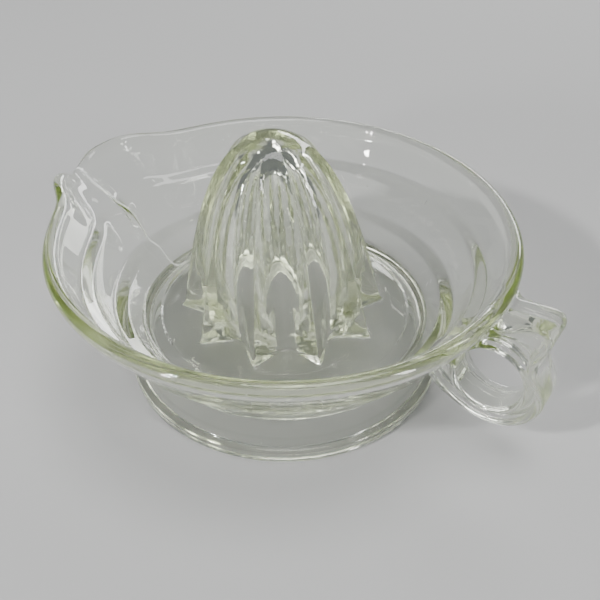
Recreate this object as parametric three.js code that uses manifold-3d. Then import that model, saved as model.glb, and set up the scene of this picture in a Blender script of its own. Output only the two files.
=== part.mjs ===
// Pressed-glass citrus reamer (hand juicer), in millimetres, +Z up.
// The handle points along +X and the pour spout along -X; the foot stands on z = 0.
// The real reamer is one pressing, so each node here is one moulded feature of it,
// and neighbouring features meet on flat planes or with a small joint gap.
import * as THREE from 'three';
import { mergeVertices } from 'three/addons/utils/BufferGeometryUtils.js';
import Module from 'manifold-3d';

const wasm = await Module();
wasm.setup();

// Driving dimensions
const rimRadius = 76;
const rimTop = 54;
const rimWidth = 5.2;
const rimBase = 47;
const coneTop = 84.5;
const coneRadius = 33.8;
const coneBluntness = 0.37;
const ribCount = 10;
const fluteSteps = 6;
const floorTop = 20.5;
const floorBottom = 15.5;
const footRadius = 54;
const footTopRadius = 50.5;
const footRecessRadius = 47;
const spoutReach = 88;
const spoutHalfAngle = 31;
const shoulderAngle = 17;
const lipHalfAngle = 4.6;
const lipDip = 4.4;
const spoutRoot = 24;
const handleReach = 94;
const handleWidth = 12.6;
const fingerHoleRadius = 10.7;
const fingerHoleX = 76.5;
const fingerHoleZ = 30;
const thumbRestBase = 49;
const thumbRestTop = 54.6;
const jointGap = 0.3;
const around = 72;

// The bowl's axis stands off the frame's origin, so that the origin is at the middle of the base.
const bowlAxisX = (spoutReach - handleReach) / 2;

// Section of the bowl wall as [radius, height], from the floor up. The inside has two shallow steps.
const wallOutside = [[54.4, floorTop], [57.4, 24], [61.4, 29.2], [65.6, 35], [69.4, 41], [73.1, rimBase]];
const wallInside = [[47.9, floorTop], [52.5, 26.6], [57.2, 28.2], [62, 39.2], [66.2, 40.9], [69, rimBase]];

const glass = () => new THREE.MeshStandardMaterial({
  color: 0xdfe8d6,
  roughness: 0.05,
  metalness: 0,
  transparent: true,
  opacity: 0.35,
});

const radians = (degrees) => THREE.MathUtils.degToRad(degrees);
const toPoints = (pairs) => pairs.map(([x, y]) => new THREE.Vector2(x, y));

// Geometry helpers

// Keeps only merged positions, and turns the faces outward if they point in.
function tidy(geometry) {
  geometry.deleteAttribute('normal');
  geometry.deleteAttribute('uv');
  const merged = mergeVertices(geometry, 1e-4);
  const index = merged.index.array;
  const position = merged.attributes.position;
  const [a, b, c] = [new THREE.Vector3(), new THREE.Vector3(), new THREE.Vector3()];
  let volume = 0;
  for (let i = 0; i < index.length; i += 3) {
    a.fromBufferAttribute(position, index[i]);
    b.fromBufferAttribute(position, index[i + 1]);
    c.fromBufferAttribute(position, index[i + 2]);
    volume += a.dot(b.cross(c));
  }
  const kept = [];
  for (let i = 0; i < index.length; i += 3) {
    const [p, q, r] = volume > 0 ? [0, 1, 2] : [0, 2, 1];
    const corners = [index[i + p], index[i + q], index[i + r]];
    if (new Set(corners).size === 3) kept.push(...corners);
  }
  merged.setIndex(kept);
  return merged;
}

function toSolid(geometry) {
  const closed = tidy(geometry);
  return new wasm.Manifold(new wasm.Mesh({
    numProp: 3,
    vertProperties: new Float32Array(closed.attributes.position.array),
    triVerts: new Uint32Array(closed.index.array),
  }));
}

function toGeometry(solid) {
  const mesh = solid.getMesh();
  const geometry = new THREE.BufferGeometry();
  geometry.setAttribute('position', new THREE.BufferAttribute(mesh.vertProperties, 3));
  geometry.setIndex(new THREE.BufferAttribute(mesh.triVerts, 1));
  return geometry;
}

// Revolves a [radius, height] section about the bowl's axis. A ring's section closes on itself.
function revolve(section, isRing) {
  const points = toPoints(isRing ? [...section, section[0]] : section);
  return new THREE.LatheGeometry(points, around).rotateX(Math.PI / 2);
}

// Extrudes an outline in the XZ plane along Y, centred on y = 0.
function extrudeAlongY(shape, width) {
  const geometry = new THREE.ExtrudeGeometry(shape, {
    depth: width,
    bevelEnabled: false,
    curveSegments: 8,
  });
  return geometry.translate(0, 0, -width / 2).rotateX(Math.PI / 2);
}

function moveVertices(geometry, move) {
  const position = geometry.attributes.position;
  const point = new THREE.Vector3();
  for (let i = 0; i < position.count; i += 1) {
    point.fromBufferAttribute(position, i);
    move(point);
    position.setXYZ(i, point.x, point.y, point.z);
  }
  return geometry;
}

// Pulls the wall and rim outward to the spout, and presses a narrow notch into its lip.
function pullSpout(point) {
  const radius = Math.hypot(point.x, point.y);
  const angle = Math.atan2(point.y, -point.x);
  const reach = 1 / (1 + (angle / radians(shoulderAngle)) ** 6);
  const notch = Math.exp(-((angle / radians(lipHalfAngle)) ** 2));
  const rise = THREE.MathUtils.smoothstep(point.z, spoutRoot, rimTop);
  const pull = reach * ((1 - notch) * rise + notch * rise ** 2.5);
  const scale = 1 + (spoutReach - rimRadius) * pull / radius;
  point.x *= scale;
  point.y *= scale;
  point.z -= lipDip * notch * rise ** 4;
}

// A pie-slice of space around the spout's direction
function spoutWedge(halfAngle, bottom) {
  const far = 200;
  const side = far * Math.tan(radians(halfAngle));
  const shape = new THREE.Shape(toPoints([[0, 0], [-far, side], [-far, -side]]));
  const wedge = new THREE.ExtrudeGeometry(shape, { depth: far, bevelEnabled: false });
  return toSolid(wedge.translate(0, 0, bottom));
}

// Everything inside the bowl's and foot's outer surface, grown by the joint gap
function bowlEnvelope() {
  const outside = [...wallOutside, ...rimOutside()].map(([r, z]) => [r + jointGap, z]);
  const bottom = [[0, -1], [footRadius, -1], [footTopRadius + jointGap, floorBottom]];
  return toSolid(revolve([...bottom, ...outside, [0, rimTop + 20]], false));
}

// Sections

function rimOutside() {
  const middle = rimRadius - rimWidth / 2;
  const widest = rimTop - rimWidth / 2;
  const round = [];
  for (let degrees = 0; degrees <= 90; degrees += 30) {
    const angle = radians(degrees);
    round.push([middle + rimWidth / 2 * Math.cos(angle), widest + rimWidth / 2 * Math.sin(angle)]);
  }
  return [[rimRadius - 0.7, widest - 2.4], ...round];
}

function rimInside() {
  const middle = rimRadius - rimWidth / 2;
  const widest = rimTop - rimWidth / 2;
  return [[middle - 1.3, rimTop - 0.5], [middle - rimWidth / 2, widest], [70.2, 49.6]];
}

// Sub-parts

function footRing() {
  const section = [
    [50.2, 0], [52.8, 0], [footRadius, 1.2], [footRadius, 3.4], [52.4, 5],
    [51.3, 9], [footTopRadius, floorBottom], [footRecessRadius, floorBottom],
    [48.0, 6], [49.0, 1],
  ];
  return tidy(revolve(section, true));
}

function bowlFloor() {
  const cavity = cavityRadius(floorTop);
  const section = [
    [cavity, floorBottom], [footTopRadius, floorBottom], wallOutside[0],
    wallInside[0], [42.6, floorTop], [41.8, floorTop - 0.6], [36.8, floorTop - 0.6],
    [36, floorTop], [cavity, floorTop],
  ];
  return tidy(revolve(section, true));
}

function bowlWall() {
  const ring = moveVertices(revolve([...wallOutside, ...[...wallInside].reverse()], true), pullSpout);
  const wedge = spoutWedge(spoutHalfAngle + 0.25, spoutRoot - jointGap);
  return toGeometry(toSolid(ring).subtract(wedge));
}

function rimBead() {
  const section = [wallOutside.at(-1), ...rimOutside(), ...rimInside(), wallInside.at(-1)];
  const ring = moveVertices(revolve(section, true), pullSpout);
  return toGeometry(toSolid(ring).subtract(spoutWedge(spoutHalfAngle + 0.25, 0)));
}

function pourSpout() {
  const section = [...wallOutside, ...rimOutside(), ...rimInside(), ...[...wallInside].reverse()];
  const ring = moveVertices(revolve(section, true), pullSpout);
  return toGeometry(toSolid(ring).intersect(spoutWedge(spoutHalfAngle, spoutRoot)));
}

// Radius of the crest of the ribs, u being 0 at the tip and 1 at the floor
const crestRadius = (u) => coneRadius * u ** coneBluntness;

function cavityRadius(z) {
  const top = 76;
  const widest = 20.5;
  return widest * Math.max(0, 1 - ((z - floorTop) / (top - floorTop)) ** 2.6) ** 0.5;
}

// Presses the flutes between the ribs into the outside of the cone; they deepen towards the floor.
function pressFlutes(point) {
  const radius = Math.hypot(point.x, point.y);
  const u = (coneTop - point.z) / (coneTop - floorTop);
  if (radius < crestRadius(u) - 0.5) return;
  const pitch = 2 * Math.PI / ribCount;
  const angle = Math.atan2(point.y, point.x);
  const offset = Math.abs(angle / pitch - Math.round(angle / pitch)) * 2;
  const depth = (0.08 + 0.19 * u ** 2) * (1 - (1 - offset) ** 2);
  point.x *= 1 - depth;
  point.y *= 1 - depth;
}

function reamerCone() {
  const steps = [0.004, 0.03, 0.09, 0.18, 0.3, 0.45, 0.62, 0.8, 1];
  const outside = steps.map((u) => [crestRadius(u), coneTop - u * (coneTop - floorTop)]);
  const heights = [floorTop, 34, 50, 62, 70, 74.5];
  const inside = heights.map((z) => [cavityRadius(z), z]);
  const section = [[0, coneTop], ...outside, ...inside, [0, 76]];
  const points = toPoints(section);
  const shell = new THREE.LatheGeometry(points, ribCount * fluteSteps).rotateX(Math.PI / 2);
  return tidy(moveVertices(shell, pressFlutes));
}

function fingerRing() {
  const outline = new THREE.Shape();
  outline.moveTo(50, 24);
  outline.lineTo(62.3, 17.9);
  outline.bezierCurveTo(70, 14, 74, 12.8, 78, 12.9);
  outline.bezierCurveTo(86.5, 13.2, handleReach, 20, handleReach, 29);
  outline.bezierCurveTo(handleReach, 34, 90.2, 37, 90.2, 40.5);
  outline.quadraticCurveTo(90.2, 44, 91.4, thumbRestBase);
  outline.lineTo(60, thumbRestBase);
  const hole = new THREE.Path().absarc(fingerHoleX, fingerHoleZ, fingerHoleRadius, 0, 2 * Math.PI, true);
  outline.holes.push(hole);
  const plate = toSolid(extrudeAlongY(outline, handleWidth));
  return toGeometry(plate.subtract(bowlEnvelope()).subtract(webPocket(1)).subtract(webPocket(-1)));
}

// The recess between the band around the finger hole and the handle's outer band
function webPocket(side) {
  const depth = 3;
  const bandRadius = fingerHoleRadius + 1.8;
  const start = new THREE.Vector2(bandRadius, 0).rotateAround(new THREE.Vector2(), radians(-125));
  const outline = new THREE.Shape();
  outline.moveTo(fingerHoleX + start.x, fingerHoleZ + start.y);
  outline.bezierCurveTo(72, 16.6, 75, 15.4, 78, 15.4);
  outline.bezierCurveTo(85.5, 15.8, 91.2, 21.5, 91.2, 29);
  outline.bezierCurveTo(91.2, 33.5, 87.6, 36.5, 87.6, 40.5);
  outline.lineTo(88, thumbRestBase - 2);
  outline.lineTo(75, thumbRestBase - 2);
  outline.lineTo(fingerHoleX, fingerHoleZ + bandRadius);
  outline.absarc(fingerHoleX, fingerHoleZ, bandRadius, radians(90), radians(-125), true);
  const pocket = extrudeAlongY(outline, depth + 2);
  return toSolid(pocket.translate(0, side * (handleWidth / 2 - depth + (depth + 2) / 2), 0));
}

function thumbRest() {
  const profile = new THREE.Shape();
  profile.moveTo(60, thumbRestBase);
  profile.lineTo(91.4, thumbRestBase);
  profile.quadraticCurveTo(92.4, 53.2, 88.6, thumbRestTop);
  profile.lineTo(60, 52);
  const plan = new THREE.Shape(toPoints([[60, 14], [76, 11.5], [84, 6.6], [100, 4.4],
    [100, -4.4], [84, -6.6], [76, -11.5], [60, -14]]));
  const slab = toSolid(extrudeAlongY(profile, 40));
  const trim = toSolid(new THREE.ExtrudeGeometry(plan, { depth: 80, bevelEnabled: false }));
  return toGeometry(slab.intersect(trim).subtract(bowlEnvelope()));
}

// Assembly

const reamer = new THREE.Group();
reamer.position.x = bowlAxisX;

const features = {
  foot_ring: footRing,
  bowl_floor: bowlFloor,
  bowl_wall: bowlWall,
  rim_bead: rimBead,
  pour_spout: pourSpout,
  reamer_cone: reamerCone,
  finger_ring: fingerRing,
  thumb_rest: thumbRest,
};

for (const [name, build] of Object.entries(features)) {
  const mesh = new THREE.Mesh(build(), glass());
  mesh.name = name;
  reamer.add(mesh);
}

export default reamer;
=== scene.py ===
import math

import bpy
import numpy as np
import openvdb
from mathutils import Matrix, Vector


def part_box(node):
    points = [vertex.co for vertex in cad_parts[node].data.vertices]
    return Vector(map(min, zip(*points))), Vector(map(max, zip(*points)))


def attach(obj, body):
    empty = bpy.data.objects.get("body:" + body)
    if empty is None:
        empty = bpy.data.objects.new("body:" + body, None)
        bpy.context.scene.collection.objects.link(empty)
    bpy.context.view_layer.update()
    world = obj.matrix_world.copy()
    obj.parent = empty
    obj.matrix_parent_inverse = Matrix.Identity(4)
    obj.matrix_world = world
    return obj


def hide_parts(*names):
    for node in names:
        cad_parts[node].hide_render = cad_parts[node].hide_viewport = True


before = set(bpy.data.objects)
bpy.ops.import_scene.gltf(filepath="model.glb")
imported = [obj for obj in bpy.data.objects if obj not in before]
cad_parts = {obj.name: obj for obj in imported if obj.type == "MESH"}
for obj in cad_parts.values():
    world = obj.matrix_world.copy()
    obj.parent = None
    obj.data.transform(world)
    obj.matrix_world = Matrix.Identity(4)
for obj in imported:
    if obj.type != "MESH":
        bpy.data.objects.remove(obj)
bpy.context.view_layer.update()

# The shapes below are worked out in millimetres and scaled to metres when a mesh is made.
# Radii are measured from the bowl's own axis, which stands at BOWL_X in the frame.
MM = 0.001


def node_box(node):
    """Lowest and highest corner of a CAD node, in millimetres."""
    low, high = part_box(node)
    return low / MM, high / MM


# Driving dimensions, read from the frame
FOOT_LOW, FOOT_HIGH = node_box("foot_ring")
CONE_LOW, CONE_HIGH = node_box("reamer_cone")
RING_LOW, RING_HIGH = node_box("finger_ring")
THUMB_LOW, THUMB_HIGH = node_box("thumb_rest")
RIM_HIGH = node_box("rim_bead")[1]
SPOUT_LOW = node_box("pour_spout")[0]
FLOOR_LOW = node_box("bowl_floor")[0]

BOWL_X = (FOOT_LOW.x + FOOT_HIGH.x) / 2
FOOT_RADIUS = FOOT_HIGH.y
RIM_RADIUS = RIM_HIGH.y
RIM_TOP = RIM_HIGH.z
CONE_TOP = CONE_HIGH.z
CONE_BASE = CONE_LOW.z
CONE_RADIUS = CONE_HIGH.x - BOWL_X
FLOOR_UNDER = FLOOR_LOW.z
SPOUT_PULL = BOWL_X - SPOUT_LOW.x - RIM_RADIUS
SPOUT_ROOT = SPOUT_LOW.z
HANDLE_REACH = RING_HIGH.x - BOWL_X
HANDLE_BOTTOM = RING_LOW.z
HANDLE_HALF = RING_HIGH.y
THUMB_TOP = THUMB_HIGH.z
THUMB_BASE = THUMB_LOW.z

# The rim, and the wall that the spout is pulled out of
RIM_HALF = 2.6
WALL_START = 45
INSIDE_START = 47
SPOUT_HALF_ANGLE = math.radians(17)
SPOUT_TURN = math.radians(1.5)
SPOUT_SQUARENESS = 6
LIP_TURN = math.radians(6.3)
LIP_HALF_ANGLE = math.radians(4.1)
LIP_DIP = 4.4
LIP_PULL_POWER = 2.5
LIP_DIP_POWER = 4

# The mould seam down the inside of the spout, which stops SEAM_END from the axis
SEAM_TURN = math.radians(5)
SEAM_HEIGHT = 0.5
SEAM_HALF = 0.4
SEAM_END = 44.0

# The cone, whose flute depths are shares of its radius
RIB_COUNT = 10
CREST_EASE = 0.03
DOME_FLUTE = 0.14
FOOT_FLUTE = 0.275
FLUTE_BLEND = 0.5
CONE_BLUNTNESS = 0.37
CONE_FILLET = 2.0
CONE_FOOT = CONE_BASE + 0.9
TIP_DIMPLE = 0.5
TIP_DIMPLE_RADIUS = 2.4
CAVITY_RADIUS = 20.5
CAVITY_TOP = 76.0
CAVITY_BLUNTNESS = 2.6

# The camera: degrees, millimetres of lens and sensor, and metres away
CAMERA_AZIMUTH = 34.5
CAMERA_ELEVATION = 42.2
CAMERA_PAN = -1.04
CAMERA_TILT = 3.19
CAMERA_ROLL = 0.53
CAMERA_LENS = 50.1
CAMERA_SENSOR = 36
CAMERA_DISTANCE = 0.3028

# How far the cone was pressed out of true, toward the camera's left
CONE_TURN = math.radians(0.6)
CONE_SHIFT = 0.6
CONE_LEAN = 3.0
LEAN_DIRECTION = math.radians(CAMERA_AZIMUTH + 180)

# The handle, placed by distance from the bowl's axis and by height
FINGER_HOLE = (76.5, 30.0)
FINGER_HOLE_RADIUS = 10.7
HOLE_BAND = 2.4
OUTER_BAND = 2.8
WEB_HALF = 3.4
PLATE_EDGE = 1.4
HOLE_EDGE = 1.6
RECESS_EDGE = 1.0
BAND_EDGE = 1.2
TAB_ROOT_X, TAB_FLARE_X, TAB_END_X = 66, 70, 90
TAB_ROOT_TOP = 51.6
TAB_HALF = 6.2
TAB_FLARE = 4.4
TAB_THICKNESS = 4.2
TAB_EDGE = 2.0
TAB_UNDER_EDGE = 2.4
TAB_FILLET = 2.4

# The handle's join: a fillet, and a thin skin of the wall that the handle's mesh carries along
WALL_FILLET = 3.4
SKIN_INSET = 0.03
SKIN_DEPTH = 1.4
SKIN_EDGE = 0.2
SKIN_HALF_WIDTH = 15.5
SKIN_ABOVE_THUMB = 1.6

# The wall's outside, taken there as a straight line from the foot's waist to below the rim
WAIST_INSET = 3.3
WALL_TOP_DROP = 4

# The glass: noise scales and density are per metre, BUMP_HEIGHT is in metres
WAVE_SCALE = (90, 90, 90)
LINE_SCALE = (700, 700, 60)
LINE_WEIGHT = 3.5
BUMP_STRENGTH = 0.06
BUMP_HEIGHT = 0.0004
WEAR_SCALE = (60, 60, 60)
WEAR_RANGE = (0.55, 0.8)
WEAR_ROUGHNESS = 0.05
DUST_SCALE = 190
DUST_EDGE = (0.03, 0.06)
DUST_CHOSEN = 0.6
DUST_COVER = 0.35
SEAM_RANGE = (0.2, 0.7)
SEAM_COVER = 0.6
GLASS_TINT = (0.80, 0.86, 0.52, 1)
GLASS_DENSITY = 16

# Mesh resolution
ANGLE_STEPS = 720
SECTION_STEP = 0.55
SKIRT_STEP = 0.25
CAVITY_STEPS = 70
RIM_STEPS = 18
CONE_STEPS = 190
SEAM_SIDE_DEGREES = (0.1, 0.2, 0.3, 0.4, 0.6)
ARC_DEGREES = 9
HANDLE_VOXEL = 0.35
GRID_HALF_WIDTH = 17
GRID_MARGIN = 3
FIELD_STEP = 0.25


# ---------- section of the bowl, foot and cone ----------

def filleted(corners):
    """Points along a polyline of (radius, height, fillet radius) corners, in small steps."""
    leg_share = 0.49
    path = [np.array(corners[0][:2], float)]
    for before, corner, after in zip(corners, corners[1:], corners[2:]):
        point = np.array(corner[:2], float)
        back = np.array(before[:2], float) - point
        ahead = np.array(after[:2], float) - point
        back_unit = back / np.linalg.norm(back)
        ahead_unit = ahead / np.linalg.norm(ahead)
        turn = math.acos(np.clip(back_unit @ ahead_unit, -1, 1))
        if corner[2] == 0 or turn > math.pi - 1e-3:
            path.append(point)
            continue
        trim = corner[2] / math.tan(turn / 2)
        trim = min(trim, leg_share * np.linalg.norm(back), leg_share * np.linalg.norm(ahead))
        start = point + back_unit * trim
        end = point + ahead_unit * trim
        count = max(4, int((math.pi - turn) / math.radians(ARC_DEGREES)))
        for t in np.linspace(0, 1, count + 1):
            path.append((1 - t) ** 2 * start + 2 * t * (1 - t) * point + t ** 2 * end)
    path.append(np.array(corners[-1][:2], float))
    return densified(path)


def densified(path):
    """The path with points added so that none are much further apart than SECTION_STEP."""
    points = [path[0]]
    for a, b in zip(path, path[1:]):
        count = max(1, int(np.linalg.norm(b - a) / SECTION_STEP))
        points += [a + (b - a) * k / count for k in range(1, count + 1)]
    return points


def cavity_run():
    """The hollow inside the cone, from its crown down to the height of the bowl's floor."""
    height = CAVITY_TOP - CONE_BASE
    crown = []
    for t in np.linspace(0, 1, CAVITY_STEPS):
        rise = math.cos(t * math.pi / 2)
        radius = CAVITY_RADIUS * max(0, 1 - rise ** CAVITY_BLUNTNESS) ** 0.5
        crown.append(np.array([radius, CONE_BASE + height * rise]))
    return crown[:-1]


def underside_run():
    """From the cone's hollow, under the floor, down the foot and up the outside of the wall."""
    corners = [
        (CAVITY_RADIUS, CONE_BASE, 0),
        (CAVITY_RADIUS + 0.6, FLOOR_UNDER, 1.8),
        (FOOT_RADIUS - 7.1, FLOOR_UNDER, 2.2),
        (FOOT_RADIUS - 5.0, 0, 1.4),
        (FOOT_RADIUS - 0.2, 0, 1.2),
        (FOOT_RADIUS, 4.0, 1.1),
        (FOOT_RADIUS - 2.4, 5.2, 1.6),
        (FOOT_RADIUS - 3.7, FLOOR_UNDER + 0.4, 4),
        (RIM_RADIUS - 11.8, 32.8, 60),
        (RIM_RADIUS - 0.6, RIM_TOP - 4.6, 2),
        (RIM_RADIUS, RIM_TOP - RIM_HALF, 0),
    ]
    return filleted(corners)


def rim_run():
    """The rounded top of the rim."""
    centre = np.array([RIM_RADIUS - RIM_HALF, RIM_TOP - RIM_HALF])
    angles = np.radians(np.linspace(10, 180, RIM_STEPS))
    return [centre + RIM_HALF * np.array([math.cos(a), math.sin(a)]) for a in angles]


def inside_run():
    """Down the inside of the bowl and across its floor to the foot of the cone."""
    corners = [
        (RIM_RADIUS - 2 * RIM_HALF, RIM_TOP - RIM_HALF, 0),
        (RIM_RADIUS - 2 * RIM_HALF - 0.6, RIM_TOP - 4.4, 3),
        (66.2, 40.9, 2),
        (62.0, 39.2, 2),
        (57.2, 28.2, 2),
        (52.5, 26.6, 2),
        (47.9, CONE_BASE + 0.1, 3),
        (42.6, CONE_BASE, 0.6),
        (41.8, CONE_BASE - 0.5, 0.6),
        (CONE_RADIUS + CONE_FILLET + 0.5, CONE_FOOT, 0),
    ]
    return filleted(corners)[1:]


def crest_radius(height):
    """Radius of the crests of the ribs."""
    u = (CONE_TOP - height) / (CONE_TOP - CONE_BASE)
    return CONE_RADIUS * np.clip(u, 0, 1) ** CONE_BLUNTNESS


def cone_run():
    """Up the outside of the cone along a rib's crest, to its tip."""
    skirt = np.arange(CONE_FOOT, CONE_BASE + CONE_FILLET, SKIRT_STEP)
    spacing_power = 0.62
    reach = np.linspace(1, 0, CONE_STEPS) ** spacing_power
    radii = CONE_RADIUS * reach
    heights = CONE_TOP - reach ** (1 / CONE_BLUNTNESS) * (CONE_TOP - CONE_BASE)
    above = heights > skirt[-1] + 0.8 * SKIRT_STEP
    low = [(float(crest_radius(h)), h) for h in skirt]
    return [np.array(p) for p in low + list(zip(radii[above], heights[above]))]


def wall_section():
    """The closed outline of the wall and rim alone, for the handle's join."""
    innermost = FOOT_RADIUS - 6
    lowest = 6
    outside = [p for p in underside_run() if p[1] > lowest and p[0] > innermost]
    inside = [p for p in inside_run() if p[0] > innermost]
    return np.array(outside + rim_run() + inside)


# ---------- the bowl's surface, revolved and shaped ----------

def smooth_step(low, high, value):
    """Zero below low, one above high, and an even S between."""
    t = np.clip((value - low) / (high - low), 0, 1)
    return t * t * (3 - 2 * t)


def turn_angles():
    """Even steps round the axis, with extra ones on both sides of the mould seam."""
    even = np.arange(ANGLE_STEPS) * 2 * math.pi / ANGLE_STEPS
    beside = np.radians(SEAM_SIDE_DEGREES)
    seam = math.pi + SEAM_TURN
    return np.sort(np.concatenate([even, seam - beside, seam + beside]))


def press_ribs(radius, height, angle):
    """Radius of the cone's outside: round flutes between sharp ribs, and a fillet to the floor."""
    steps = (angle - CONE_TURN) * RIB_COUNT / (2 * math.pi)
    offset = np.abs(steps - np.round(steps)) * 2
    eased = np.sqrt(offset ** 2 + CREST_EASE ** 2) - CREST_EASE
    flute = 1 - (1 - np.clip(eased, 0, 1)) ** 2
    below_tip = (CONE_TOP - height) / (CONE_TOP - CONE_BASE)
    dome = radius * (1 - DOME_FLUTE * smooth_step(0.01, 0.1, below_tip) * flute)
    star = CONE_RADIUS * (1 - FOOT_FLUTE * flute)
    mean = (dome + star) / 2
    ribbed = mean - np.sqrt(((dome - star) / 2) ** 2 + FLUTE_BLEND ** 2 / 4) + FLUTE_BLEND / 4
    above_floor = np.clip((height - CONE_FOOT) / CONE_FILLET, 0, 1)
    return ribbed + CONE_FILLET * (1 - np.sqrt(1 - (1 - above_floor) ** 2))


def lean_cone(x, y, height):
    """The cone was pressed slightly out of true: its top stands off to one side."""
    rise = np.clip((height - CONE_FOOT) / (CONE_TOP - CONE_FOOT), 0, None)
    shift = CONE_SHIFT + CONE_LEAN * rise
    return x + shift * math.cos(LEAN_DIRECTION), y + shift * math.sin(LEAN_DIRECTION)


def pull_spout(radius, height, angle):
    """Pulls the wall and rim out to the spout, and presses the notch into its lip."""
    away = (turn_from_spout(angle) - SPOUT_TURN) / SPOUT_HALF_ANGLE
    reach = 1 / (1 + away ** SPOUT_SQUARENESS)
    notch = np.exp(-((turn_from_spout(angle) - LIP_TURN) / LIP_HALF_ANGLE) ** 2)
    rise = smooth_step(SPOUT_ROOT, RIM_TOP, height)
    pull = SPOUT_PULL * reach * ((1 - notch) * rise + notch * rise ** LIP_PULL_POWER)
    return radius + pull, height - LIP_DIP * notch * rise ** LIP_DIP_POWER


def flank_extra(radius, height, angle):
    """Extra thickness, measured along the radius, where the spout's flanks turn toward it."""
    away = (turn_from_spout(angle) - SPOUT_TURN) / SPOUT_HALF_ANGLE
    power = SPOUT_SQUARENESS
    steepness = power * np.abs(away) ** (power - 1) / (1 + away ** power) ** 2 / SPOUT_HALF_ANGLE
    slope = SPOUT_PULL * steepness * smooth_step(SPOUT_ROOT, RIM_TOP, height) / radius
    return 2 * RIM_HALF * (np.sqrt(1 + slope ** 2) - 1)


def turn_from_spout(angle):
    """Angle from the spout's side of the bowl, counted toward the front."""
    return np.mod(angle, 2 * math.pi) - math.pi


def seam_bump(radius, angle):
    """The mould seam: a fine raised line down the inside of the spout."""
    away = radius * (turn_from_spout(angle) - SEAM_TURN) / SEAM_HALF
    return SEAM_HEIGHT * np.exp(-away ** 2)


def shaped_grid(section, marks, angles):
    """The section turned through every angle, with the spout, seam, ribs and lean worked in."""
    radius, height = section[:, :1], section[:, 1:]
    cone = marks == "cone"
    core = cone | (marks == "cavity")
    wall = (radius > WALL_START) & ~cone
    inside_wall = (marks == "inside") & (radius > INSIDE_START)
    pulled_radius, pulled_height = pull_spout(radius, height, angles)
    shaped = np.where(wall, pulled_radius, radius)
    heights = np.where(wall, pulled_height, height * np.ones_like(angles))
    thinner = flank_extra(radius, height, angles) + seam_bump(shaped, angles)
    shaped = np.where(inside_wall, shaped - thinner, shaped)
    shaped = np.where(cone, press_ribs(radius, height, angles), shaped)
    dimple = TIP_DIMPLE * np.exp(-(radius / TIP_DIMPLE_RADIUS) ** 2)
    heights = np.where(cone, heights - dimple, heights)
    x = BOWL_X + shaped * np.cos(angles)
    y = shaped * np.sin(angles)
    leaning_x, leaning_y = lean_cone(x, y, heights)
    return np.stack([np.where(core, leaning_x, x), np.where(core, leaning_y, y), heights], axis=2)


def bowl_mesh():
    """The bowl, foot and cone as one closed surface, from the cavity's crown to the cone's tip."""
    runs = {"cavity": cavity_run(), "underside": underside_run(), "rim": rim_run()[:-1],
            "inside": inside_run(), "cone": cone_run()}
    marks = np.repeat(list(runs), [len(run) for run in runs.values()])[:, None]
    section = np.concatenate([np.array(run) for run in runs.values()])
    angles = turn_angles()
    angles = np.where(angles > math.pi, angles - 2 * math.pi, angles)[None, :]
    grid = shaped_grid(section[1:-1], marks[1:-1], angles)
    rows, columns = grid.shape[:2]
    crown = [*lean_cone(BOWL_X, 0, section[0, 1]), section[0, 1]]
    tip_height = section[-1, 1] - TIP_DIMPLE
    tip = [*lean_cone(BOWL_X, 0, tip_height), tip_height]
    points = np.concatenate([grid.reshape(-1, 3), [crown, tip]]) * MM
    here = np.arange(rows * columns).reshape(rows, columns)
    there = np.roll(here, -1, axis=1)
    quads = np.stack([here[:-1], here[1:], there[1:], there[:-1]], axis=2).reshape(-1, 4)
    first = [(rows * columns, a, b) for a, b in zip(here[0], there[0])]
    last = [(rows * columns + 1, b, a) for a, b in zip(here[-1], there[-1])]
    return mesh_object("reamer_glass", points, quads.tolist() + first + last)


def mesh_object(name, points, faces):
    """A smooth-shaded object whose faces point outward."""
    mesh = bpy.data.meshes.new(name)
    mesh.from_pydata(np.asarray(points).tolist(), [], [tuple(f) for f in faces])
    mesh.update()
    if signed_volume(mesh) < 0:
        mesh.flip_normals()
    mesh.shade_smooth()
    thing = bpy.data.objects.new(name, mesh)
    bpy.context.scene.collection.objects.link(thing)
    return thing


def signed_volume(mesh):
    """Six times the mesh's volume, negative when its faces point inward."""
    mesh.calc_loop_triangles()
    corners = np.empty(len(mesh.loop_triangles) * 3, np.int32)
    mesh.loop_triangles.foreach_get("vertices", corners)
    places = np.empty(len(mesh.vertices) * 3, np.float32)
    mesh.vertices.foreach_get("co", places)
    a, b, c = places.reshape(-1, 3).astype(float)[corners.reshape(-1, 3).T]
    return float(np.sum(a * np.cross(b, c)))


# ---------- the handle, as a distance field ----------

def polygon_distance(px, py, polygon):
    """Signed distance to a closed outline, negative inside."""
    nearest = np.full(px.shape, 1e9)
    inside = np.zeros(px.shape, bool)
    for (ax, ay), (bx, by) in zip(polygon, np.roll(polygon, -1, axis=0)):
        ex, ey = bx - ax, by - ay
        t = np.clip(((px - ax) * ex + (py - ay) * ey) / max(ex * ex + ey * ey, 1e-12), 0, 1)
        nearest = np.minimum(nearest, (px - ax - t * ex) ** 2 + (py - ay - t * ey) ** 2)
        crosses = (ay > py) != (by > py)
        slope = ex / ey if ey else 0.0
        inside ^= crosses & (px < ax + (py - ay) * slope)
    return np.where(inside, -1, 1) * np.sqrt(nearest)


def smooth_min(a, b, k):
    """The lower of two distances, blended over k where they are close."""
    h = np.clip(0.5 + 0.5 * (b - a) / k, 0, 1)
    return b + (a - b) * h - k * h * (1 - h)


def smooth_max(a, b, k):
    """The higher of two distances, blended over k where they are close."""
    return -smooth_min(-a, -b, k)


def rounded_slab(outline, half, depth, edge):
    """An outline's distance field carried through a slab, with its edges rounded."""
    a = outline + edge
    b = np.abs(depth) - half + edge
    return np.hypot(np.maximum(a, 0), np.maximum(b, 0)) + np.minimum(np.maximum(a, b), 0) - edge


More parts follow.
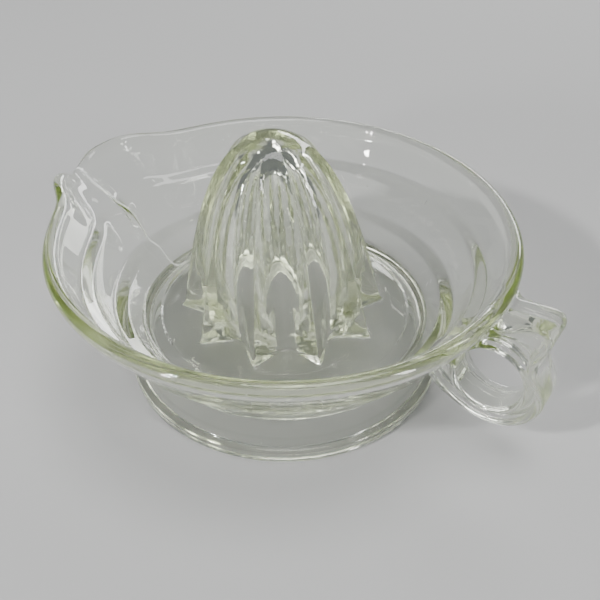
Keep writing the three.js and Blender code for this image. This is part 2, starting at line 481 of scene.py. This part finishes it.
def bezier(points, count=14):
    """Points on a cubic curve, without its last one."""
    a, b, c, d = (np.array(p, float) for p in points)
    t = np.linspace(0, 1, count)[:, None]
    return ((1 - t) ** 3 * a + 3 * t * (1 - t) ** 2 * b + 3 * t ** 2 * (1 - t) * c + t ** 3 * d)[:-1]


def handle_outline():
    """Side outline of the handle: under the finger hole, round its end, and up the waist."""
    bottom = (78, HANDLE_BOTTOM)
    end = (HANDLE_REACH, 28)
    waist = (90.0, 40.5)
    tip = (91.9, 50)
    return np.concatenate([
        [[54, 26], [60, 19.4]],
        bezier([(62.3, 17.9), (70, 14), (74, HANDLE_BOTTOM), bottom]),
        bezier([bottom, (86.5, HANDLE_BOTTOM), (HANDLE_REACH, 20), end]),
        bezier([end, (HANDLE_REACH, 34), (90.0, 36), waist]),
        bezier([waist, (90.0, 45), (92.0, 47), tip]),
        bezier([tip, (91.8, 53.4), (90.4, THUMB_TOP - 0.2), (88.0, THUMB_TOP - 0.3)]),
        [[80, 53.2], [66, 51.5]],
    ])


def grid_axes():
    """The x, y and z steps of a grid that holds the handle and the wall beside it."""
    spans = ((50, HANDLE_REACH + GRID_MARGIN), (-GRID_HALF_WIDTH, GRID_HALF_WIDTH),
             (HANDLE_BOTTOM - GRID_MARGIN, THUMB_TOP + GRID_MARGIN))
    return [np.arange(low, high, HANDLE_VOXEL) for low, high in spans]


def wall_distance(radius, height):
    """Distance to the wall and rim, looked up in a field worked out once over the section."""
    radii = np.arange(46, 106, FIELD_STEP)
    heights = np.arange(4, 64, FIELD_STEP)
    r, h = np.meshgrid(radii, heights, indexing="ij")
    field = polygon_distance(r, h, wall_section())
    u = np.clip((radius - radii[0]) / FIELD_STEP, 0, len(radii) - 1.001)
    v = np.clip((height - heights[0]) / FIELD_STEP, 0, len(heights) - 1.001)
    i, j = u.astype(int), v.astype(int)
    fu, fv = u - i, v - j
    low = field[i, j] * (1 - fv) + field[i, j + 1] * fv
    high = field[i + 1, j] * (1 - fv) + field[i + 1, j + 1] * fv
    return low * (1 - fu) + high * fu


def handle_field(x, y, z):
    """The finger ring with its recessed web, and the thumb rest flaring to the rim."""
    outline = polygon_distance(x[:, 0, :], z[:, 0, :], handle_outline())[:, None, :]
    hole = np.hypot(x - FINGER_HOLE[0], z - FINGER_HOLE[1]) - FINGER_HOLE_RADIUS
    plate = rounded_slab(outline, HANDLE_HALF, y, PLATE_EDGE)
    plate = smooth_max(plate, -hole, HOLE_EDGE)
    recess = smooth_max(outline + OUTER_BAND, HOLE_BAND - hole, RECESS_EDGE)
    recess = smooth_max(recess, WEB_HALF - np.abs(y), RECESS_EDGE)
    recess = smooth_max(recess, z - (THUMB_BASE - 1), RECESS_EDGE)
    plate = smooth_max(plate, -recess, BAND_EDGE)
    half_width = TAB_HALF + TAB_FLARE * (1 - smooth_step(TAB_FLARE_X, TAB_END_X, x))
    top = TAB_ROOT_TOP + (THUMB_TOP - TAB_ROOT_TOP) * smooth_step(TAB_ROOT_X, TAB_END_X, x)
    tab = smooth_max(np.abs(y) - half_width, z - top, TAB_EDGE)
    tab = smooth_max(tab, (top - TAB_THICKNESS) - z, TAB_UNDER_EDGE)
    tab = smooth_max(tab, outline, TAB_EDGE)
    return smooth_min(plate, tab, TAB_FILLET)


def handle_mesh():
    """The handle with a fillet to the wall, and a thin skin that lies within the wall's glass."""
    axes = grid_axes()
    x, y, z = np.meshgrid(*axes, indexing="ij")
    radius = np.hypot(x, y)
    wall = wall_distance(radius, z)
    joined = smooth_min(handle_field(x, y, z), wall + SKIN_INSET, WALL_FILLET)
    lean = (RIM_RADIUS - FOOT_RADIUS + WAIST_INSET) / (RIM_TOP - FLOOR_UNDER - WALL_TOP_DROP)
    wall_outside = FOOT_RADIUS - WAIST_INSET + (z - FLOOR_UNDER) * lean
    outward = (radius - wall_outside) / math.hypot(1, lean)
    joined = smooth_max(joined, -(outward + SKIN_DEPTH), SKIN_EDGE)
    beyond = np.maximum(np.abs(y) - SKIN_HALF_WIDTH, axes[2][0] + 1 - z)
    beyond = np.maximum(beyond, z - THUMB_TOP - SKIN_ABOVE_THUMB)
    joined = np.maximum(joined, beyond)
    grid = openvdb.FloatGrid()
    grid.copyFromArray(joined.astype(np.float32))
    corners, quads = grid.convertToQuads(isovalue=0.0)
    origin = np.array([axis[0] for axis in axes])
    points = (origin + corners * HANDLE_VOXEL + [BOWL_X, 0, 0]) * MM
    return mesh_object("handle_glass", points, quads.tolist())


def join_solids(body, extra):
    """Joins extra into body as one closed solid, and removes extra."""
    modifier = body.modifiers.new("join", "BOOLEAN")
    modifier.operation = "UNION"
    modifier.solver = "MANIFOLD"
    modifier.object = extra
    evaluated = body.evaluated_get(bpy.context.evaluated_depsgraph_get())
    mesh = bpy.data.meshes.new_from_object(evaluated)
    body.modifiers.clear()
    mesh.materials.clear()
    body.data = mesh
    mesh.shade_smooth()
    bpy.data.objects.remove(extra)


def mark_seam(body):
    """Marks the mould seam on the spout's inside, where scuffs and dust gather."""
    mesh = body.data
    places = np.empty(len(mesh.vertices) * 3, np.float32)
    mesh.vertices.foreach_get("co", places)
    normals = np.empty(len(mesh.vertices) * 3, np.float32)
    mesh.vertices.foreach_get("normal", normals)
    x, y, _ = places.reshape(-1, 3).T / MM
    radius = np.hypot(x - BOWL_X, y)
    across = radius * (turn_from_spout(np.arctan2(y, x - BOWL_X)) - SEAM_TURN)
    facing_up = normals[2::3] > 0.2
    inside = facing_up & (radius > SEAM_END)
    strength = np.where(inside, np.exp(-(across / SEAM_HALF) ** 2), 0)
    seam = mesh.attributes.new("seam", "FLOAT", "POINT")
    seam.data.foreach_set("value", strength.astype(np.float32))


# ---------- materials ----------

def new_material(name):
    """An empty node material, its nodes and its links."""
    material = bpy.data.materials.new(name)
    material.use_nodes = True
    material.node_tree.nodes.clear()
    return material, material.node_tree.nodes, material.node_tree.links


def map_range(nodes, links, source, from_range, to_range):
    """The output of a node that maps a value from one range to another."""
    node = nodes.new("ShaderNodeMapRange")
    node.inputs["From Min"].default_value, node.inputs["From Max"].default_value = from_range
    node.inputs["To Min"].default_value, node.inputs["To Max"].default_value = to_range
    links.new(source, node.inputs["Value"])
    return node.outputs["Result"]


def arithmetic(nodes, links, operation, first, second):
    """The output of a math node whose two inputs are numbers or other outputs."""
    node = nodes.new("ShaderNodeMath")
    node.operation = operation
    for socket, value in zip(node.inputs, (first, second)):
        if isinstance(value, (int, float)):
            socket.default_value = value
        else:
            links.new(value, socket)
    return node.outputs["Value"]


def noise(nodes, links, place, scale, detail):
    """Noise whose scale is one number for each axis."""
    mapping = nodes.new("ShaderNodeMapping")
    mapping.inputs["Scale"].default_value = scale
    links.new(place, mapping.inputs["Vector"])
    texture = nodes.new("ShaderNodeTexNoise")
    texture.inputs["Scale"].default_value = 1
    texture.inputs["Detail"].default_value = detail
    links.new(mapping.outputs["Vector"], texture.inputs["Vector"])
    return texture.outputs["Fac"]


def cone_mask(nodes, links, place):
    """One on the cone and zero on the bowl round it."""
    flat = nodes.new("ShaderNodeVectorMath")
    flat.operation = "MULTIPLY_ADD"
    flat.inputs[1].default_value = (1, 1, 0)
    flat.inputs[2].default_value = (-BOWL_X * MM, 0, 0)
    links.new(place, flat.inputs[0])
    length = nodes.new("ShaderNodeVectorMath")
    length.operation = "LENGTH"
    links.new(flat.outputs["Vector"], length.inputs[0])
    edge = CONE_RADIUS * MM
    fade = 2 * MM
    return map_range(nodes, links, length.outputs["Value"], (edge, edge + fade), (1, 0))


def dust_specks(nodes, links, place):
    """Small scattered spots, one on a speck of dust and zero elsewhere."""
    cells = nodes.new("ShaderNodeTexVoronoi")
    cells.inputs["Scale"].default_value = DUST_SCALE
    links.new(place, cells.inputs["Vector"])
    spot = map_range(nodes, links, cells.outputs["Distance"], DUST_EDGE, (1, 0))
    pick = nodes.new("ShaderNodeSeparateColor")
    links.new(cells.outputs["Color"], pick.inputs["Color"])
    chosen = arithmetic(nodes, links, "GREATER_THAN", pick.outputs["Red"], DUST_CHOSEN)
    return arithmetic(nodes, links, "MULTIPLY", spot, chosen)


def glass_material():
    """Clear pressed glass: faint green in thick places, soft waviness, fine lines down the cone,
    light wear, specks of dust and a scuffed mould seam."""
    material, nodes, links = new_material("pressed_glass")
    output = nodes.new("ShaderNodeOutputMaterial")
    glass = nodes.new("ShaderNodeBsdfPrincipled")
    glass.inputs["Base Color"].default_value = (0.985, 0.995, 0.975, 1)
    glass.inputs["IOR"].default_value = 1.52
    place = nodes.new("ShaderNodeTexCoord").outputs["Object"]
    wear = noise(nodes, links, place, WEAR_SCALE, 6)
    roughness = map_range(nodes, links, wear, WEAR_RANGE, (0, WEAR_ROUGHNESS))
    links.new(roughness, glass.inputs["Roughness"])
    waves = noise(nodes, links, place, WAVE_SCALE, 1)
    lines = noise(nodes, links, place, LINE_SCALE, 2)
    lines = arithmetic(nodes, links, "MULTIPLY", lines, cone_mask(nodes, links, place))
    lines = arithmetic(nodes, links, "MULTIPLY", lines, LINE_WEIGHT)
    bump = nodes.new("ShaderNodeBump")
    bump.inputs["Strength"].default_value = BUMP_STRENGTH
    bump.inputs["Distance"].default_value = BUMP_HEIGHT
    links.new(arithmetic(nodes, links, "ADD", waves, lines), bump.inputs["Height"])
    links.new(bump.outputs["Normal"], glass.inputs["Normal"])
    seam = nodes.new("ShaderNodeAttribute")
    seam.attribute_name = "seam"
    scuffed = map_range(nodes, links, seam.outputs["Fac"], SEAM_RANGE, (0, SEAM_COVER))
    dusty = arithmetic(nodes, links, "MULTIPLY", dust_specks(nodes, links, place), DUST_COVER)
    covered = arithmetic(nodes, links, "MAXIMUM", scuffed, dusty)
    clear = arithmetic(nodes, links, "SUBTRACT", 1, covered)
    links.new(clear, glass.inputs["Transmission Weight"])
    absorption = nodes.new("ShaderNodeVolumeAbsorption")
    absorption.inputs["Color"].default_value = GLASS_TINT
    absorption.inputs["Density"].default_value = GLASS_DENSITY
    links.new(glass.outputs["BSDF"], output.inputs["Surface"])
    links.new(absorption.outputs["Volume"], output.inputs["Volume"])
    return material


def floor_material():
    """A plain matt pale grey."""
    material, nodes, links = new_material("pale_floor")
    output = nodes.new("ShaderNodeOutputMaterial")
    surface = nodes.new("ShaderNodeBsdfPrincipled")
    surface.inputs["Base Color"].default_value = (0.43, 0.43, 0.426, 1)
    surface.inputs["Roughness"].default_value = 0.9
    links.new(surface.outputs["BSDF"], output.inputs["Surface"])
    return material


# ---------- camera, floor and light ----------

def make_camera():
    """Stands off the foot's centre, then turns a little to frame the whole reamer."""
    azimuth, elevation = math.radians(CAMERA_AZIMUTH), math.radians(CAMERA_ELEVATION)
    pan, tilt, roll = (math.radians(a) for a in (CAMERA_PAN, CAMERA_TILT, CAMERA_ROLL))
    camera_data = bpy.data.cameras.new("camera")
    camera_data.sensor_width = CAMERA_SENSOR
    camera_data.lens = CAMERA_LENS
    camera_data.clip_start = 0.01
    camera = bpy.data.objects.new("camera", camera_data)
    back = Vector((math.sin(azimuth) * math.cos(elevation),
                   -math.cos(azimuth) * math.cos(elevation), math.sin(elevation)))
    turn = (Matrix.Rotation(azimuth, 4, "Z") @ Matrix.Rotation(math.pi / 2 - elevation, 4, "X")
            @ Matrix.Rotation(pan, 4, "Y") @ Matrix.Rotation(tilt, 4, "X")
            @ Matrix.Rotation(-roll, 4, "Z"))
    place = Vector((BOWL_X * MM, 0, 0)) + back * CAMERA_DISTANCE
    camera.matrix_world = Matrix.Translation(place) @ turn
    bpy.context.scene.collection.objects.link(camera)
    bpy.context.scene.camera = camera


def make_floor():
    """A flat square that reaches far past the reamer, a hair below its foot."""
    half = 20.0
    gap = 0.0002
    points = [(-half, -half, 0), (half, -half, 0), (half, half, 0), (-half, half, 0)]
    floor = mesh_object("floor", points, [(0, 1, 2, 3)])
    floor.location.z = -gap
    floor.data.materials.append(floor_material())


def area_light(name, place, target, size, power):
    """A soft panel of light turned toward a point, in metres and watts."""
    data = bpy.data.lights.new(name, "AREA")
    data.shape = "RECTANGLE"
    data.size, data.size_y = size
    data.energy = power
    light = bpy.data.objects.new(name, data)
    light.location = place
    aim = Vector(target) - Vector(place)
    light.rotation_euler = aim.to_track_quat("-Z", "Y").to_euler()
    bpy.context.scene.collection.objects.link(light)


def sun_light(name, source, spread, strength):
    """A broad even light from far away in the source's direction, which reaches the far floor."""
    data = bpy.data.lights.new(name, "SUN")
    data.angle = spread
    data.energy = strength
    light = bpy.data.objects.new(name, data)
    light.rotation_euler = (-Vector(source)).to_track_quat("-Z", "Y").to_euler()
    bpy.context.scene.collection.objects.link(light)


def make_light():
    """A dim room and five soft lights."""
    world = bpy.data.worlds.new("studio")
    world.use_nodes = True
    background = world.node_tree.nodes["Background"]
    background.inputs["Color"].default_value = (0.9, 0.95, 1.0, 1)
    background.inputs["Strength"].default_value = 0.2
    bpy.context.scene.world = world
    area_light("key", (-0.3, -0.95, 0.8), (0, 0, 0.03), (0.08, 0.08), 13)
    area_light("low", (-0.25, -1.02, 0.34), (0, 0, 0.04), (0.07, 0.12), 6)
    area_light("side", (1.1, -0.1, 0.5), (0, 0, 0.03), (0.12, 0.6), 6)
    area_light("back", (-0.2, 1.1, 0.45), (0, 0, 0.03), (0.9, 0.2), 8)
    sun_light("top", (0.1, 0.1, 1.2), math.radians(32), 1.55)
    allow_bounces(64)


def allow_bounces(count):
    """Lets light pass through every layer of glass."""
    cycles = bpy.context.scene.cycles
    cycles.max_bounces = count
    cycles.transmission_bounces = count
    cycles.glossy_bounces = count
    cycles.transparent_max_bounces = count


# ---------- build ----------

reamer = bowl_mesh()
join_solids(reamer, handle_mesh())
mark_seam(reamer)
reamer.data.materials.append(glass_material())
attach(reamer, "root")
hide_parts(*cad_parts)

make_camera()
make_floor()
make_light()
